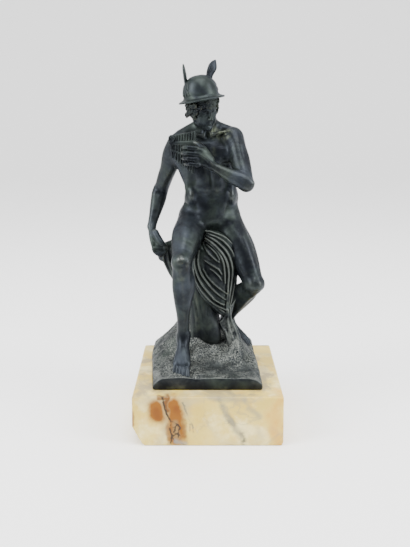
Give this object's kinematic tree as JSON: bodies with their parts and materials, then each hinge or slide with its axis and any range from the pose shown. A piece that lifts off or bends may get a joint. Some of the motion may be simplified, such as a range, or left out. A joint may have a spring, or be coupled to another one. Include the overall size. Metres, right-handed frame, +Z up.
{
  "type": "seated bronze statuette on a marble block",
  "caption": "Small dark bronze of a seated youth in a winged hat holding pan pipes, on a draped tree trunk and rocky ground, set on a cream marble block.",
  "frame": {"origin": "centre of the marble block's underside", "axes": "+Z up, the figure looks along -Y, +X to the figure's left"},
  "size_m": [0.1132, 0.1132, 0.2784],
  "materials": {
    "bronze": "cast bronze with a dark green-black waxed patina, rubbed paler on the raised places, stippled on the ground",
    "marble": "honed cream marble with grey veins and amber stains, one lower corner broken"
  },
  "bodies": {
    "root": {"bronze_figure": "bronze", "marble_plinth": "marble"}
  },
  "joints": []
}
